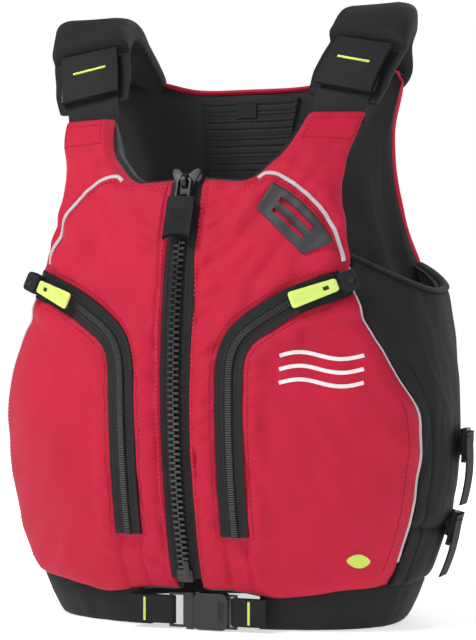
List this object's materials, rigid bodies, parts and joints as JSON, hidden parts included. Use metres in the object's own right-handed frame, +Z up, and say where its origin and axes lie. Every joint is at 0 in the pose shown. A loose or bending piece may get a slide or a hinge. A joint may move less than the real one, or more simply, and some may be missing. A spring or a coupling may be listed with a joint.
{
  "type": "life jacket",
  "caption": "Front-zip foam paddling buoyancy aid with padded shoulder straps, curved zip pockets, a lash patch, side adjusters and a belted hem with a side-release buckle.",
  "frame": {"origin": "middle of the whole width and depth, at the bottom edge of the waist belt", "axes": "+Z up, the front with the zip faces -Y, +X is the wearer's left"},
  "size_m": [0.4432, 0.3062, 0.551],
  "materials": {
    "red_fabric": "woven nylon, matt, bright red",
    "black_fabric": "woven nylon, matt",
    "lining_satin": "smooth lining cloth, slight sheen",
    "mesh_fabric": "ribbed spacer mesh",
    "foam": "closed-cell buoyancy foam",
    "webbing": "flat woven polyester webbing",
    "black_plastic": "moulded acetal, fine texture",
    "zip_tape": "zip tape with moulded black teeth",
    "zip_metal": "bright die-cast metal",
    "lime_rubber": "moulded lime rubber",
    "piping": "pale grey retro-reflective trim",
    "lash_rubber": "moulded dark grey rubber",
    "label": "plain woven label, no print"
  },
  "bodies": {
    "jacket": {"armhole_gusset_left": "black_fabric", "armhole_gusset_right": "black_fabric", "back_cover": "red_fabric", "back_foam_lower": "foam", "back_foam_upper": "foam", "back_lining": "lining_satin", "back_mesh_panel": "mesh_fabric", "belt_webbing_left": "webbing", "buckle_receiver": "black_plastic", "front_cover_left": "red_fabric", "front_cover_right": "red_fabric", "front_foam_left": "foam", "front_foam_right": "foam", "front_lining_left": "lining_satin", "front_lining_right": "lining_satin", "ladder_lock_lower_left": "black_plastic", "ladder_lock_lower_right": "black_plastic", "ladder_lock_upper_left": "black_plastic", "ladder_lock_upper_right": "black_plastic", "lash_patch": "lash_rubber", "main_zip_left": "zip_tape", "main_zip_right": "zip_tape", "neck_binding": "red_fabric", "piping_left": "piping", "piping_right": "piping", "pocket_garage_left": "black_fabric", "pocket_garage_right": "black_fabric", "pocket_panel_left": "red_fabric", "pocket_panel_right": "red_fabric", "pocket_zip_left": "zip_tape", "pocket_zip_right": "zip_tape", "shoulder_adjuster_left": "black_plastic", "shoulder_adjuster_right": "black_plastic", "shoulder_flap_left": "webbing", "shoulder_flap_right": "webbing", "shoulder_sleeve_left": "black_fabric", "shoulder_sleeve_right": "black_fabric", "shoulder_webbing_left": "webbing", "shoulder_webbing_right": "webbing", "side_panel_left": "black_fabric", "side_panel_right": "black_fabric", "side_strap_lower_left": "webbing", "side_strap_lower_right": "webbing", "side_strap_upper_left": "webbing", "side_strap_upper_right": "webbing", "size_label": "label", "waist_belt": "black_fabric"},
    "main_slider": {"main_slider": "zip_metal"},
    "main_pull": {"main_pull": "zip_metal", "main_pull_tab": "lash_rubber"},
    "pocket_slider_left": {"pocket_slider_left": "black_plastic"},
    "pocket_slider_right": {"pocket_slider_right": "black_plastic"},
    "pocket_puller_left": {"pocket_puller_left": "lime_rubber"},
    "pocket_puller_right": {"pocket_puller_right": "lime_rubber"},
    "buckle_plug": {"buckle_plug": "black_plastic", "belt_webbing_right": "webbing"},
    "buckle_prong_upper": {"buckle_prong_upper": "black_plastic"},
    "buckle_prong_lower": {"buckle_prong_lower": "black_plastic"}
  },
  "joints": [
    {"name": "main_zip_travel", "type": "hinge", "parent": "jacket", "child": "main_slider", "pos_m": [0, 0.34862, 0.215], "axis": [1, 0, 0], "range_deg": [0, 37.4]},
    {"name": "main_pull_swing", "type": "hinge", "parent": "main_slider", "child": "main_pull", "pos_m": [0, -0.12444, 0.39177], "axis": [-1, 0, 0], "range_deg": [0, 150]},
    {"name": "pocket_zip_travel_left", "type": "slide", "parent": "jacket", "child": "pocket_slider_left", "axis": [-0.8482, -0.4174, -0.3262], "range_m": [0, 0.04]},
    {"name": "pocket_zip_travel_right", "type": "slide", "parent": "jacket", "child": "pocket_slider_right", "axis": [0.8482, -0.4174, -0.3262], "range_m": [0, 0.04]},
    {"name": "pocket_puller_swing_left", "type": "hinge", "parent": "pocket_slider_left", "child": "pocket_puller_left", "pos_m": [0.13808, -0.12475, 0.29989], "axis": [-0.3798, 0.0501, 0.9237], "range_deg": [0, 75]},
    {"name": "pocket_puller_swing_right", "type": "hinge", "parent": "pocket_slider_right", "child": "pocket_puller_right", "pos_m": [-0.13808, -0.12475, 0.29989], "axis": [-0.3798, -0.0501, -0.9237], "range_deg": [0, 75]},
    {"name": "buckle_release", "type": "slide", "parent": "jacket", "child": "buckle_plug", "axis": [-1, 0, 0], "range_m": [0, 0.036]},
    {"name": "prong_squeeze_upper", "type": "hinge", "parent": "buckle_plug", "child": "buckle_prong_upper", "pos_m": [0.0039, -0.10872, 0.0241], "axis": [0, 1, 0], "range_deg": [0, 6], "stiffness_Nm_per_rad": 0.05},
    {"name": "prong_squeeze_lower", "type": "hinge", "parent": "buckle_plug", "child": "buckle_prong_lower", "pos_m": [0.0039, -0.10872, 0.0089], "axis": [0, -1, 0], "range_deg": [0, 6], "stiffness_Nm_per_rad": 0.05}
  ]
}
